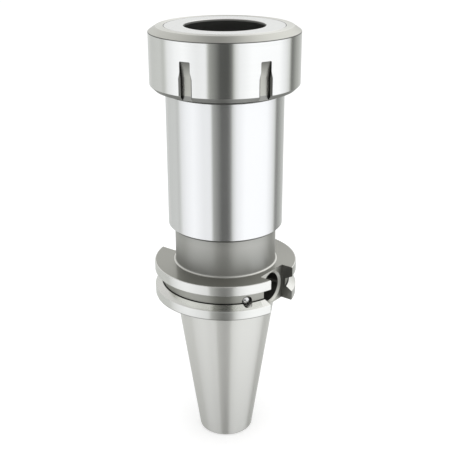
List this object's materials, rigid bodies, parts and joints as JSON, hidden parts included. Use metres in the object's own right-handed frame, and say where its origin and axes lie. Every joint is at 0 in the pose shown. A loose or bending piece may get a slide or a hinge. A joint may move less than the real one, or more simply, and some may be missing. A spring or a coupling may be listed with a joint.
{
  "type": "collet chuck holder",
  "caption": "Steep-taper tool holder with a V-flange and a long body, whose ball-bearing clamping nut closes a tapered collet seat",
  "frame": {"origin": "centre of the taper's gauge-line plane, where the shank measures 44.45 mm", "axes": "+Z along the spindle axis towards the clamping nut; +X through the drive slot that has the balance hole"},
  "size_m": [0.063, 0.0636, 0.1904],
  "materials": {
    "body_steel": "turned and ground",
    "nut_steel": "ground",
    "ball_steel": "polished",
    "screw_steel": "blackened"
  },
  "bodies": {
    "holder": {"holder_body": "body_steel", "passage_plug_balls": "ball_steel"},
    "cone_ring": {"nut_cone_ring": "nut_steel"},
    "nut": {"nut_body": "nut_steel", "ball_filler_plug": "screw_steel"},
    "ball_row": {"bearing_balls": "ball_steel"},
    "stop_screw": {"stop_screw": "screw_steel"}
  },
  "joints": [
    {"name": "nut_rise", "type": "slide", "parent": "holder", "child": "cone_ring", "axis": [0, 0, 1], "range_m": [0, 0.0106]},
    {"name": "nut_turn", "type": "hinge", "parent": "cone_ring", "child": "nut", "pos_m": [0, 0, 0.1156], "axis": [0, 0, 1], "range_deg": [0, 2520]},
    {"name": "ball_orbit", "type": "hinge", "parent": "cone_ring", "child": "ball_row", "pos_m": [0, 0, 0.1156], "axis": [0, 0, 1], "range_deg": [0, 1261]},
    {"name": "stop_travel", "type": "slide", "parent": "holder", "child": "stop_screw", "axis": [0, 0, 1], "range_m": [0, 0.012]}
  ],
  "couplings": [
    {"joint": "nut_rise", "follows": "nut_turn", "m_per_rad": 0.00023873},
    {"joint": "ball_orbit", "follows": "nut_turn", "ratio": 0.5}
  ]
}
